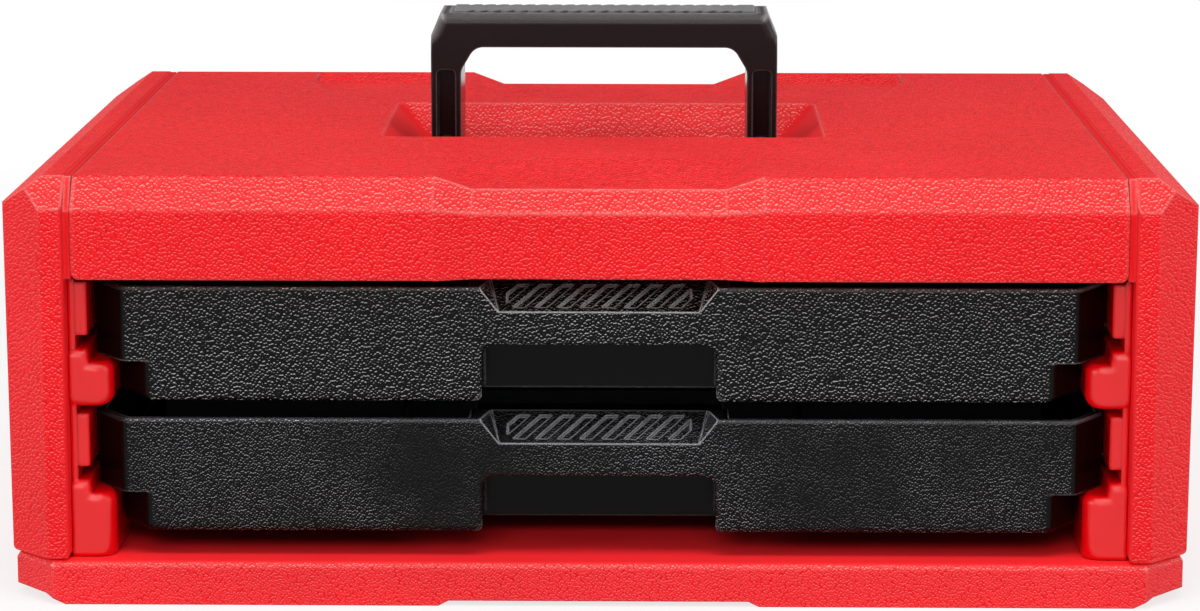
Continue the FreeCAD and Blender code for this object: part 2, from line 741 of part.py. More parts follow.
def top_cover():
    """Lid moulding, with the recessed band, the handle well and the two rear pockets."""
    edge = band_half + band_slope
    inner = inner_outline()
    outer = outer_outline()
    body = plain_cover()
    sides = body.cut(block(-edge, edge, front - 1, rear + 1, 0, handle_top))
    slope = Part.makeLoft([wire_at(inner, band_half), wire_at(outer, edge)], True, True)
    centre = prism_x(inner, -band_half, band_half)
    body = fused([sides, centre] + both_sides(slope))
    body = body.cut(well()).cut(Part.makeCompound(both_sides(rear_pocket())))
    body = body.cut(cover_cavity())
    rooms = []
    holes = []
    for x in retainer_spots():
        half_w = retainer_width / 2 + 2
        half_l = retainer_length / 2 + 2
        rooms.append(block(x - half_w, x + half_w, handle_y - half_l, handle_y + half_l,
                           cover_bottom - 1, well_floor - wall))
        mortise_w = tenon_width / 2 + seat_gap
        mortise_l = tenon_length / 2 + seat_gap
        holes.append(block(x - mortise_w, x + mortise_w, handle_y - mortise_l, handle_y + mortise_l,
                           well_floor - wall - 1, well_floor + 1))
    for y in fix_ys:
        start = (cover_half - wall - short_screw + 2, y, cover_screw_z)
        holes += both_sides(rod(screw_hole_r, start, (1, 0, 0), short_screw + wall))
    return body.cut(Part.makeCompound(rooms)).cut(Part.makeCompound(holes)).removeSplitter()


# ---------------------------------------------------------------- drawers
def drawer_form(half, inset, z0, z1):
    """A drawer's outer form, or the same moved inward by inset; half is half its outer width."""
    cut = 1 + inset * math.hypot(1 / front_corner_width, 1 / front_corner_depth)
    face_x = half - front_corner_width * (cut - inset / front_corner_depth)
    side_y = drawer_front + front_corner_depth * (cut - inset / front_corner_width)
    face_y = drawer_front + inset
    side_x = half - inset
    rear_y = drawer_rear - inset
    right = [(face_x, face_y), (side_x, side_y), (side_x, rear_y)]
    left = [(-x, y) for x, y in reversed(right)]
    body = prism_z(right + left, z0, z1)
    folds = [(x * side, y) for x, y in right[:2] for side in (-1, 1)]
    body = fillet_where(body, front_corner_round - inset,
                        lambda edge: any(spans(edge, x=x, y=y) for x, y in folds))
    return fillet_where(body, drawer_corner - inset, lambda edge: spans(edge, x=side_x, y=rear_y)
                        or spans(edge, x=-side_x, y=rear_y))


def drawer_shell(bottom):
    """Outer form of a drawer: a wide upper part over a narrower lower part."""
    ledge = bottom + ledge_height
    top = bottom + drawer_height
    upper = drawer_form(drawer_half, 0, ledge, top)
    upper = fillet_where(upper, rim_round, lambda edge: spans(edge, z=top))
    lower = drawer_form(drawer_half - ledge_width, 0, bottom, ledge + 1)
    lower = fillet_where(lower, bottom_round, lambda edge: spans(edge, z=bottom))
    return fused([upper, lower])


def drawer_hollow(bottom):
    """Space inside a drawer."""
    ledge = bottom + ledge_height + drawer_wall
    top = bottom + drawer_height
    upper = drawer_form(drawer_half, drawer_wall, ledge, top + 1)
    lower = drawer_form(drawer_half - ledge_width, drawer_wall, bottom + drawer_wall, ledge + 1)
    lower = fillet_where(lower, 1.5, lambda edge: spans(edge, z=bottom + drawer_wall))
    return fused([upper, lower])


def pull_outline(bottom, inset):
    """The (y, z) section of the space behind the grip bar; inset shrinks it for its shell."""
    top = bottom + drawer_height
    ramp_slope = scoop_drop / scoop_depth
    y0 = drawer_front + drawer_wall
    y1 = y0 + pull_depth
    roof = top - drawer_wall
    front_roof = top - scoop_drop + ramp_slope * drawer_wall - drawer_wall * math.hypot(1, ramp_slope)
    bend = y0 + (roof - front_roof) / ramp_slope
    return [(y0, bottom - 1), (y1 + inset, bottom - 1), (y1 + inset, roof + inset),
            (bend, roof + inset), (y0, front_roof + inset)]


def scoop(bottom):
    """Thumb scoop: a wedge with splayed ends, cut down from the rim."""
    top = bottom + drawer_height
    low = top - scoop_drop
    y0 = drawer_front
    y1 = drawer_front + scoop_depth
    over = 1.2
    drop = over * scoop_drop / scoop_depth
    right = [Vector(scoop_half_bottom, y0 - over, low - drop),
             Vector(scoop_half_top, y0 - over, top + over),
             Vector(scoop_half_back + over, y1 + over, top + over),
             Vector(scoop_half_back, y1 + over, top + drop)]
    left = [Vector(-p.x, p.y, p.z) for p in right]
    hull = [face_of([right[0], right[3], left[3], left[0]]), face_of([right[1], right[2], left[2], left[1]]),
            face_of([right[0], right[1], left[1], left[0]]), face_of([right[2], right[3], left[3], left[2]])]
    for side in (right, left):
        hull.append(face_of([side[0], side[1], side[2]]))
        hull.append(face_of([side[0], side[2], side[3]]))
    return Part.Solid(Part.Shell(hull))


def grip_grooves(bottom):
    """Slanting grooves pressed into the slope of the scoop."""
    top = bottom + drawer_height
    angle = math.degrees(math.atan2(scoop_drop, scoop_depth))
    length = math.hypot(scoop_drop, scoop_depth)
    window = block(-groove_half_span, groove_half_span, groove_margin, length - groove_margin,
                   -groove_depth, 2)
    count = math.ceil(2 * groove_half_span / groove_pitch) + 2
    bars = []
    for i in range(count):
        x = (i - (count - 1) / 2) * groove_pitch
        bar = block(-groove_width / 2, groove_width / 2, -length, length, -groove_depth, 1.5)
        bar.rotate(Vector(0, 0, 0), Vector(0, 0, 1), -groove_lean)
        bar.translate(Vector(x, length / 2, 0))
        bars.append(bar)
    grooves = Part.makeCompound([bar.common(window) for bar in bars])
    grooves.rotate(Vector(0, 0, 0), Vector(1, 0, 0), angle)
    grooves.translate(Vector(0, drawer_front, top - scoop_drop))
    return grooves


def divider_guides(bottom, divider_y, divider_x):
    """Pairs of small ribs that hold the drawer's removable dividers upright."""
    floor = bottom + drawer_wall
    high = floor + divider_height
    ledge = bottom + ledge_height + drawer_wall
    gap = divider_thickness / 2 + insert_gap / 2
    low_half = drawer_half - ledge_width - drawer_wall
    y0 = drawer_front + drawer_wall
    ribs = []
    for step in (-1, 1):
        y = divider_y + step * (gap + guide_rib / 2)
        ribs += both_sides(block(low_half - guide_rib_reach, low_half + 1, y - guide_rib / 2,
                                 y + guide_rib / 2, floor - 1, ledge))
        x = divider_x + step * (gap + guide_rib / 2)
        ribs += both_sides(block(x - guide_rib / 2, x + guide_rib / 2, y0 - 1, y0 + guide_rib_reach,
                                 floor - 1, high))
    return ribs


def drawer(bottom, divider_y, divider_x):
    """One drawer, with its finger pull, thumb scoop, anti-tip flanges and stop lugs."""
    top = bottom + drawer_height
    shell = drawer_shell(bottom)
    inner_half = pull_half - pull_edge
    pull_solid = prism_x(pull_outline(bottom, drawer_wall), -inner_half - drawer_wall,
                         inner_half + drawer_wall)
    hollow = drawer_hollow(bottom).cut(pull_solid)
    ramp_back = block(-scoop_half_top - drawer_wall, scoop_half_top + drawer_wall, drawer_front,
                      drawer_front + scoop_depth + drawer_wall, top - scoop_drop - drawer_wall, top + 2)
    hollow = hollow.cut(ramp_back)
    body = shell.cut(hollow)
    body = body.cut(prism_x(pull_outline(bottom, 0.0), -inner_half, inner_half))
    mouth = block(-inner_half, inner_half, drawer_front - 1, drawer_front + drawer_wall + 1,
                  bottom - 1, bottom + pull_height)
    mouth = fillet_where(mouth, pull_corner, lambda edge: spans(edge, z=bottom + pull_height)
                         and edge.BoundBox.YLength > 1)
    body = body.cut(mouth)
    mouth_edge = lambda edge: spans(edge, y=drawer_front, x=(-pull_half, pull_half),
                                    z=(bottom + bottom_round, bottom + pull_height))
    body = fillet_where(body, pull_edge, mouth_edge)
    flare = block(inner_half - 1, inner_half + pull_flare, drawer_front - 1, drawer_front + drawer_wall,
                  bottom - 1, bottom + pull_flare)
    flare = flare.cut(rod(pull_flare, (inner_half + pull_flare, drawer_front - 1, bottom + pull_flare),
                          (0, 1, 0), drawer_wall + 1))
    body = body.cut(Part.makeCompound(both_sides(flare)))
    body = body.cut(scoop(bottom)).cut(grip_grooves(bottom))
    shoulder = slide_levels(bottom)[1]
    flange_low = shoulder + (guide_slot - flange_height) / 2
    flange_out = guide_face + flange_engage
    lug_out = plate_inner - seam
    flange = block(drawer_half - 1, flange_out, drawer_front + flange_start, drawer_rear,
                   flange_low, flange_low + flange_height)
    lug = block(drawer_half - 1, lug_out, drawer_rear - stop_length, drawer_rear,
                flange_low, flange_low + flange_height)
    extras = both_sides(flange) + both_sides(lug) + divider_guides(bottom, divider_y, divider_x)
    return fused([body] + extras)


# ---------------------------------------------------------------- drawer fittings
def post(x, y, z, radius):
    """One socket post: a peg with a bevelled tip."""
    peg = rod(radius, (x, y, z), (0, 0, 1), post_height)
    tip = Part.makeCone(radius, radius * post_taper, post_tip, Vector(x, y, z + post_height))
    return peg.fuse(tip)


def socket_tray(bottom, y0, rows):
    """Moulded tray with rows of posts; rows holds (post radius, posts, share of the depth)."""
    half = drawer_half - ledge_width - drawer_wall - insert_gap
    y1 = drawer_rear - drawer_wall - insert_gap
    floor = bottom + drawer_wall + seat_gap
    corner = drawer_corner - drawer_wall - 1
    body = rounded_box(-half, half, y0, y1, floor, floor + tray_rim, corner)
    body = fillet_where(body, insert_round, lambda edge: spans(edge, z=floor))
    inner = rounded_box(-half + rib, half - rib, y0 + rib, y1 - rib,
                        floor + tray_floor, floor + tray_rim + 1, corner - rib)
    body = body.cut(inner)
    depth = (y1 - y0 - 2 * rib) / sum(share for _, _, share in rows)
    foot = floor + tray_floor - post_sink
    pegs = []
    edge = y0 + rib
    for radius, count, share in rows:
        y = edge + share * depth / 2
        pitch = 2 * (half - rib) / count
        pegs += [post(-half + rib + pitch * (i + 0.5), y, foot, radius) for i in range(count)]
        edge += share * depth
    return fused([body] + pegs)


def long_divider(bottom, y):
    """Removable wall across the drawer."""
    half = drawer_half - ledge_width - drawer_wall - insert_gap
    floor = bottom + drawer_wall + seat_gap
    top = floor + divider_height
    body = block(-half, half, y - divider_thickness / 2, y + divider_thickness / 2, floor, top)
    body = fillet_where(body, insert_round, lambda edge: spans(edge, x=half, z=floor)
                        or spans(edge, x=-half, z=floor))
    return fillet_where(body, divider_corner, lambda edge: spans(edge, x=half, z=top)
                        or spans(edge, x=-half, z=top))


def short_dividers(bottom, y, x):
    """Two removable walls from the drawer's front wall to the long divider."""
    floor = bottom + drawer_wall + seat_gap
    y0 = drawer_front + drawer_wall + seat_gap
    y1 = y - divider_thickness / 2 - seat_gap
    plate = block(x - divider_thickness / 2, x + divider_thickness / 2, y0, y1,
                  floor, floor + divider_height)
    plate = fillet_where(plate, insert_round, lambda edge: spans(edge, y=y0, z=floor))
    return Part.makeCompound(both_sides(plate))


# ---------------------------------------------------------------- handle
def handle():
    """Rigid bridge handle; its legs stand in the well and reach through its floor."""
    foot = well_floor + seat_gap
    inside = handle_half - handle_leg
    bends = [(inside, handle_under - crook_height), (inside - crook_width, handle_under)]
    half_outline = [(0, handle_top), (handle_half_top, handle_top),
                    (handle_half, handle_top - handle_shoulder), (handle_half, foot),
                    (inside, foot)] + bends + [(0, handle_under)]
    y0 = handle_y - handle_depth / 2
    y1 = handle_y + handle_depth / 2
    body = fused(both_sides(prism_y(half_outline, y0, y1)))
    bends += [(-x, z) for x, z in bends]
    body = fillet_where(body, crook_round, lambda edge: any(spans(edge, x=x, z=z) for x, z in bends))
    long_top = lambda edge: (spans(edge, y=y0) or spans(edge, y=y1)) \
        and edge.BoundBox.ZMin > handle_top - handle_shoulder - 0.1
    body = fillet_where(body, handle_round, long_top)
    core_x0 = inside + core_margin
    core_x1 = handle_half - core_margin
    cores = []
    for low, high in ((y0 - 1, y0 + core_depth), (y1 - core_depth, y1 + 1)):
        core = block(core_x0, core_x1, low, high, foot + core_foot, body_height + core_top)
        core = fillet_where(core, core_round, lambda edge: edge.BoundBox.YLength > 1
                            and spans(edge, z=body_height + core_top))
        cores += both_sides(core)
    body = body.cut(Part.makeCompound(cores))
    seat = block(-pad_half - seam, pad_half + seam, handle_y - pad_depth / 2 - seam,
                 handle_y + pad_depth / 2 + seam, handle_top - pad_thickness, handle_top + 1)
    body = body.cut(seat)
    tenons = []
    holes = []
    for x in retainer_spots():
        tenons.append(block(x - tenon_width / 2, x + tenon_width / 2, handle_y - tenon_length / 2,
                            handle_y + tenon_length / 2, well_floor - wall, foot + 1))
        holes += [rod(screw_hole_r, (x, y, well_floor - wall - 1), (0, 0, 1), short_screw)
                  for y in handle_screw_ys()]
    return fused([body] + tenons).cut(Part.makeCompound(holes))


def grip_pad():
    """Soft pad let into the top of the handle, with slanting serrations along both edges."""
    y0 = handle_y - pad_depth / 2
    y1 = handle_y + pad_depth / 2
    top = handle_top + pad_proud
    body = block(-pad_half, pad_half, y0, y1, handle_top - pad_thickness + seat_gap / 2, top)
    body = fillet_where(body, pad_round, lambda edge: spans(edge, z=top))
    span = pad_half - notch_margin
    count = int(2 * span / notch_pitch) + 1
    notches = []
    for i in range(count):
        x = (i - (count - 1) / 2) * notch_pitch
        for edge_y in (y0, y1):
            notch = block(-notch_width / 2, notch_width / 2, -notch_reach, notch_reach, -notch_depth, 1)
            notch.rotate(Vector(0, 0, 0), Vector(0, 0, 1), -groove_lean)
            notch.translate(Vector(x, edge_y, top))
            notches.append(notch)
    return body.cut(Part.makeCompound(notches)).removeSplitter()


def retainer(x):
    """Steel plate under the well floor that the handle screws pull against."""
    top = well_floor - wall - seat_gap / 2
    body = rounded_box(x - retainer_width / 2, x + retainer_width / 2, handle_y - retainer_length / 2,
                       handle_y + retainer_length / 2, top - retainer_thickness, top, retainer_round)
    holes = [rod(screw_hole_r, (x, y, top - 2 * retainer_thickness), (0, 0, 1), 3 * retainer_thickness)
             for y in handle_screw_ys()]
    return body.cut(Part.makeCompound(holes))


# ---------------------------------------------------------------- fasteners
def screw_group(spots, direction, length):
    """Several equal screws as one group; spots are the seats of their heads."""
    return Part.makeCompound([screw(spot, direction, length) for spot in spots])


def mirrored_screws(spots, direction, length):
    """The same screws on both sides of the box."""
    flipped = [(-x, y, z) for x, y, z in spots]
    other = (-direction[0], direction[1], direction[2])
    right = [screw(spot, direction, length) for spot in spots]
    left = [screw(spot, other, length) for spot in flipped]
    return Part.makeCompound(right + left)


# ---------------------------------------------------------------- write the nodes
os.makedirs("parts", exist_ok=True)

save("base_tray", base_tray())
panel = end_panel()
save("end_panel_right", panel)
save("end_panel_left", mirrored(panel))
slide_runner = runner()
save("runner_right", slide_runner)
save("runner_left", mirrored(slide_runner))
save("back_panel", back_panel())
save("top_cover", top_cover())

for name, (inset, half_gap, rows) in drawer_fittings.items():
    level = drawer_bottoms[name]
    wall_y = drawer_front + inset
    save(name + "_drawer", drawer(level, wall_y, half_gap))
    save(name + "_socket_tray", socket_tray(level, wall_y + tray_standoff, rows))
    save(name + "_long_divider", long_divider(level, wall_y))
    save(name + "_short_dividers", short_dividers(level, wall_y, half_gap))

save("handle", handle())
save("handle_grip_pad", grip_pad())
for side, x in zip(("left", "right"), retainer_spots()):
    save("handle_retainer_" + side, retainer(x))

handle_seat = well_floor - wall - seat_gap / 2 - retainer_thickness
base_seats = [(x, y, base_seat) for x, y in base_screw_spots]
panel_seats = [(guide_face + head_seat, y, z) for y, z in side_screw_spots()]
cover_seats = [(plate_outer, y, cover_screw_z) for y in fix_ys]
back_seats = [(back_screw_x, rear - head_seat, z) for z in back_screw_zs()]
handle_seats = [(x, y, handle_seat) for x in retainer_spots() for y in handle_screw_ys()]
save("base_screws", mirrored_screws(base_seats, (0, 0, 1), long_screw))
save("end_panel_screws", mirrored_screws(panel_seats, (1, 0, 0), short_screw))
save("cover_screws", mirrored_screws(cover_seats, (-1, 0, 0), short_screw))
save("back_panel_screws", mirrored_screws(back_seats, (0, -1, 0), back_screw))
save("handle_screws", screw_group(handle_seats, (0, 0, 1), short_screw))
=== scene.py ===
"""Looks of the two-drawer socket organizer box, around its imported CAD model.

Metres, +Z up, front of the box towards -Y.  Every CAD node keeps its shape here and gets a
procedural finish, its own or that of the material slot that the record gives it.
"""

import bpy
import json
import math
from mathutils import Matrix, Vector

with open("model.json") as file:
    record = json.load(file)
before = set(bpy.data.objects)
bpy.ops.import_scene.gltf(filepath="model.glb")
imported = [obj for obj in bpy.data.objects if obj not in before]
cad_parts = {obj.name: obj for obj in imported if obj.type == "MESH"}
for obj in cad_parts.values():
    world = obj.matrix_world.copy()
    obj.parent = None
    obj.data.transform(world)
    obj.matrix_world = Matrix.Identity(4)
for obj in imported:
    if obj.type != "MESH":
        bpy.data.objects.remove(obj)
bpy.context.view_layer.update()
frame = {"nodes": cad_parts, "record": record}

MM = 0.001
NODES = frame["nodes"]
RECORD = frame["record"]

# ---------------------------------------------------------------- colours (sRGB, 0 to 255)
RED = (236, 26, 34)
# painted shade in the crevices of the red grain
RED_CREVICE_SHADE = (226, 16, 26)
RED_HIGHLIGHT = (247, 160, 154)      # painted highlight: glints on the grain's upper flanks, along sharp folds and as a sheen on slopes
RED_BASE = (236, 44, 50)         # outside of the base
RED_FLOOR_LIFTED = (255, 40, 46)        # the base's tray floor, painted lighter as if more light reached it under the drawers
RED_POLISHED = (228, 8, 16)      # runners
BLACK = (10, 10, 11)
BLACK_SHADED_BARE = (5, 5, 5)           # painted shade: darker inside the drawers, their finger openings and the corners of their fronts
# painted shade in the crevices of the black grain
BLACK_CREVICE_SHADE = (4, 4, 5)
# painted highlight: glints on the grain's upper flanks and along sharp folds
BLACK_HIGHLIGHT = (250, 250, 253)
LOWER_DRAWER_HIGHLIGHT = (205, 205, 210)     # painted highlight on the lower drawer, dimmer than on the upper
# a black whose red tint is a painted reflection of the red cover
HANDLE_TINTED_BLACK = (24, 10, 11)
# painted glints on the grip pad's grain
GRIP_HIGHLIGHT = (130, 130, 128)
GRIP_GREY = (74, 75, 74)
TRAY_GREY = (92, 95, 98)
STEEL = (172, 172, 170)
STEEL_DARK = (140, 140, 138)     # specks in the plating
FLOOR = (246, 246, 246)
PLAIN_WHITE = (1, 1, 1, 1)       # this one in linear RGBA

# ---------------------------------------------------------------- places on the box, in mm
# x and y are measured from the box's middle.  Where no word says otherwise, a pair is a fade.
BASE_TEXTURE = (15.8, 16.3)      # z where the base's texture ends, just below its tray floor
DRAWER_BOTTOMS = {"lower_drawer": 25.7, "upper_drawer": 75.7}
DRAWER_RIM = 43.4                # above the drawer's bottom
DRAWER_FACE = (-154.5, -153.5)   # y where the texture of a drawer's front ends
DRAWER_CORNER = (150.0, 155.0)   # x where the smooth chamfered corners of the front start
SCOOP_HALF = 47.2                # half the width of a thumb scoop's texture
SCOOP_DROP = 9.6                 # how far below the rim it starts
SCOOP_ABOVE = 5.0                # how far above the rim it ends
SCOOP_BACK = (-139.5, -138.5)    # y where it ends
PANEL_TEXTURE = (198.1, 198.7)   # x where an end panel's texture starts, outside its inner face
WELL_ENDS = (72.0, 95.0)         # nearest and farthest x of the sloping ends of the handle's well
WELL_REACH = (62.0, 64.0)        # y beyond which they don't reach
BAR_SHOULDER = (193.0, 197.0)    # z where the handle's edges get rounder
TEXTURE_FADE = 0.4               # half the fade at the edges of a band of texture

# ---------------------------------------------------------------- which way a face looks
ON_TOP = 0.85                    # upward part of the normal, above which the grain lies in x and y
SLOPING = (0.1, 0.35)            # the same part, from an upright to a sloping face
LEVEL = (0.65, 0.9)              # and from a sloping to a level face
CORNER_ASIDE = (0.12, 0.3)       # sideways part of the normal, from a drawer's front to its corner
WELL_ASIDE = (0.2, 0.4)          # the same part, from the well's floor to its ends
FOLD_TURN = (0.995, 0.93)        # cosine of the turn at an edge, from none to a sharp fold
FOLD_UPWARD = (0.02, 0.25)       # upward part of the rounded normal, from a faint to a clear painted highlight on a fold

# ---------------------------------------------------------------- grain, its painted highlights and shade, and wear
PEBBLE_SHAPE = (1.05, 1.15, 1.0) # pebbles of the grain per cell size, along and across their rows
PEBBLE_SCATTER = 0.75            # 0 for pebbles in rows, 1 for random ones
PEBBLE_TURN = 0.62               # radians from level to the rows
PEBBLE_REACH = 0.7               # cells from a pebble's middle to where its height is 0
WANDER = 1.1                     # how far the rows wander, in cells
WANDER_SCALE = 0.3               # waves of that wander per cell
WANDER_DETAIL = 1.0
# the pebbles' upper flanks, where light from above would catch them, carry painted glints
FLANK_STEP = (-0.15, 0.16, 0.0)  # from a pebble's face to its upper flank, in cells
RED_FALL = (0.2, 0.3)            # fall of the height over that step, from face to flank
BLACK_FALL = (0.26, 0.36)
FLANK_HEIGHT = (0.3, 0.5)        # pebble's height over which its flank appears
PIT_HEIGHT = (0.5, 0.1)          # and over which the painted shade in the crevices appears
FOLD_HEIGHT = (0.1, 0.6)         # and over which a fold's painted highlight grows
RED_GLINT_SHARES = (0.3, 0.7, 0.5)     # share of the painted glints' colour on upright, sloping and level faces
BLACK_GLINT_SHARES = (0.45, 1.1, 0.4)
HANDLE_GLINT_SHARES = (0.02, 0.03, 0.01)
RED_SLOPE_SHEEN = 0.07                  # share of the highlight colour painted all over a slope as a sheen
FOLD_HIGHLIGHT = 0.85                 # share of the highlight colour painted along sharp folds
RED_FOLD_HIGHLIGHT = 0.6
RED_LEVEL_FOLD_HIGHLIGHT = 0.25           # share of that painted highlight on a level red face
FOLD_FAINT = 0.2                 # share of it where the edge doesn't face up
FOLD_PITTED = 0.55               # share of it in the crevices
MOTTLE = 0.12                    # how far the grain makes a level face lighter or darker
TONE = (0.95, 1.04)              # brightness of grained plastic
FLOW_TONE = (0.94, 1.04)         # brightness of smooth plastic
GLOSS_WEAR = (-0.04, 0.05)       # change of the roughness
FLOW_RELIEF = 0.0002             # m, faint waves of smooth plastic
PLATING_RELIEF = 0.02 * MM
PLATING_ROUGHNESS = (0.28, 0.42)

# ---------------------------------------------------------------- noises: waves per metre, detail
CLOUDS = (22.0, 3.0)             # wide patches where the painted glints on the grain are weaker
TONE_NOISE = (14.0, 3.0)
MOTTLE_NOISE = (330.0, 2.0)
GLOSS_NOISE = (45.0, 3.0)
FLOW_TONE_NOISE = (25.0, 3.0)
FLOW_GLOSS_NOISE = (180.0, 2.0)
FLOW_NOISE = (70.0, 1.0)
PLATING_NOISE = (900.0, 3.0)
NOISE_SPREAD = (0.3, 0.7)        # nearly all values of a noise lie between these
CLOUD_SPREAD = (0.35, 0.6)       # the part of them that the clouds' edges take
NOISE_MIDDLE = (0.5, 0.5, 0.5)

# ---------------------------------------------------------------- seeming radius of edges, in m
EDGE_SOFTNESS = 0.0011           # every moulded edge that isn't named below
RED_SOFTNESS = 0.0018            # red shells
COVER_SOFTNESS = 0.0026
RAIL_SOFTNESS = 0.0024           # runners
BAR_SOFTNESS = 0.0034            # upper edges of the handle's bar
EDGE_SAMPLES = 4

# ---------------------------------------------------------------- camera and studio
CAMERA_PLACE = (0.01992, -1.53872, 0.36943)
CAMERA_PITCH = 0.183878          # radians down from level
CAMERA_YAW = -0.0141254
CAMERA_ROLL = 0.000584
CAMERA_LENS = 113.68             # mm
CAMERA_SENSOR = 36.0             # mm
CAMERA_RANGE = (0.05, 50.0)      # m, nearest and farthest point in view
LAMP_TARGET = (0.0, -0.1, 0.1)   # just behind the middle of the box's front
LAMPS = (                        # name, place, width and height in m, watts
    ("key", (-0.15, -1.6, 0.82), (1.1, 0.45), 8.2),
    ("overhead", (0.05, -0.55, 1.7), (1.2, 0.6), 15.2),
    ("back_left", (-1.3, 1.1, 0.45), (0.4, 0.4), 3.0),
    ("back_right", (1.3, 1.1, 0.45), (0.4, 0.4), 3.0),
    ("left", (-1.4, -0.7, 0.6), (0.4, 0.4), 4.0),
    ("right", (1.4, -0.7, 0.6), (0.4, 0.4), 4.0),
)
WORLD_LIGHT = 0.24
FLOOR_WIDTH = 12.0               # m
FLOOR_ROUGHNESS = 0.8
FLOOR_FADE = (0.5, 1.1)          # m from the middle, over which the lit floor fades to white
FLOOR_WHITE = 0.75               # share of plain white in the floor beside the box


def linear(rgb):
    """An sRGB colour as linear RGBA."""
    channels = [c / 255 for c in rgb]
    return [c / 12.92 if c <= 0.04045 else ((c + 0.055) / 1.055) ** 2.4 for c in channels] + [1.0]


# ---------------------------------------------------------------- node helpers
class Tree:
    """A node tree with short calls for adding and linking nodes."""

    def __init__(self, tree):
        self.tree = tree
        tree.nodes.clear()

    def add(self, kind, *inputs, **settings):
        """Add a node; inputs fill its sockets in order."""
        node = self.tree.nodes.new("ShaderNode" + kind)
        for key, value in settings.items():
            setattr(node, key, value)
        for socket, value in zip(node.inputs, inputs):
            self.plug(socket, value)
        return node

    def plug(self, socket, value):
        """Link an output into a socket, or set the socket's own value."""
        if isinstance(value, bpy.types.NodeSocket):
            self.tree.links.new(value, socket)
        else:
            socket.default_value = value

    def fill(self, node, **values):
        """Plug values into a node's sockets by their names, written with _ for a space."""
        for name, value in values.items():
            self.plug(node.inputs[name.replace("_", " ")], value)

    def maths(self, operation, *values, clamp=False):
        """The result of a Math node."""
        return self.add("Math", *values, operation=operation, use_clamp=clamp).outputs[0]

    def product(self, value, *factors):
        """A value times some factors."""
        for factor in factors:
            value = self.maths("MULTIPLY", value, factor)
        return value

    def vector(self, operation, *values):
        """The vector that a Vector Math node gives."""
        return self.add("VectorMath", *values, operation=operation).outputs["Vector"]

    def number(self, operation, *values):
        """The number that a Vector Math node gives."""
        return self.add("VectorMath", *values, operation=operation).outputs["Value"]

    def part(self, vector, axis):
        """X, Y or Z of a vector."""
        return self.add("SeparateXYZ", vector).outputs[axis]

    def mix(self, factor, low, high):
        """A colour between two."""
        node = self.add("Mix", data_type="RGBA")
        self.plug(node.inputs["Factor"], factor)
        self.plug(node.inputs[6], low)
        self.plug(node.inputs[7], high)
        return node.outputs[2]

    def ramp(self, value, low, high, start=0.0, end=1.0):
        """Value from start to end as the input goes from low to high."""
        return self.add("MapRange", value, low, high, start, end).outputs[0]

    def fade(self, value, low, high):
        """1 up to low, 0 from high on."""
        return self.ramp(value, low, high, 1.0, 0.0)

    def noise(self, place, scale, detail, output="Fac"):
        """Noise from 0 to 1."""
        node = self.add("TexNoise")
        self.fill(node, Vector=place, Scale=scale, Detail=detail)
        return node.outputs[output]

    def wandering(self, place, noise, low, high):
        """A value that goes between two with a noise."""
        return self.ramp(self.noise(place, *noise), *NOISE_SPREAD, low, high)

    def brightened(self, colour, value):
        """A colour made lighter or darker."""
        node = self.add("HueSaturation")
        self.fill(node, Value=value, Color=colour)
        return node.outputs[0]

    def place(self):
        """The shaded point in the piece's own frame, which is the box's frame at rest."""
        return self.add("TexCoord").outputs["Object"]

    def normal(self):
        """The way that the shaded face looks."""
        return self.add("NewGeometry").outputs["Normal"]

    def rounded_normal(self, softness):
        """The same with every edge rounded."""
        return self.add("Bevel", softness, samples=EDGE_SAMPLES).outputs[0]

    def bump(self, height, distance, strength=1.0):
        """A Bump node; distance is how high the relief stands."""
        node = self.add("Bump")
        self.fill(node, Strength=strength, Distance=distance, Height=height)
        return node

    def seen_plainly(self):
        """1 for what the camera sees, directly or in a reflection or through glass."""
        path = self.add("LightPath").outputs
        seen = self.maths("MAXIMUM", path["Is Camera Ray"], path["Is Glossy Ray"])
        return self.maths("MAXIMUM", seen, path["Is Transmission Ray"])


def new_material(name):
    """An empty material, its tree and its shader."""
    material = bpy.data.materials.new(name)
    material.use_nodes = True
    t = Tree(material.node_tree)
    shader = t.add("BsdfPrincipled")
    t.output = t.add("OutputMaterial")
    t.fill(t.output, Surface=shader.outputs[0])
    return material, t, shader


# ---------------------------------------------------------------- leather grain
def along_face(t, place, normal):
    """Position across and up a face.

    That is x and z on the front and the back, y and z at the sides, and x and y on top.
    """
    x, y, z = t.add("SeparateXYZ", place).outputs
    beside, front, upward = t.add("SeparateXYZ", t.vector("ABSOLUTE", normal)).outputs
    on_top = t.maths("GREATER_THAN", upward, ON_TOP)
    not_on_top = t.maths("SUBTRACT", 1.0, on_top)
    at_side = t.product(t.maths("GREATER_THAN", beside, front), not_on_top)
    across = t.maths("MULTIPLY_ADD", at_side, t.maths("SUBTRACT", y, x), x)
    up = t.maths("MULTIPLY_ADD", on_top, t.maths("SUBTRACT", y, z), z)
    return t.add("CombineXYZ", across, up).outputs[0]


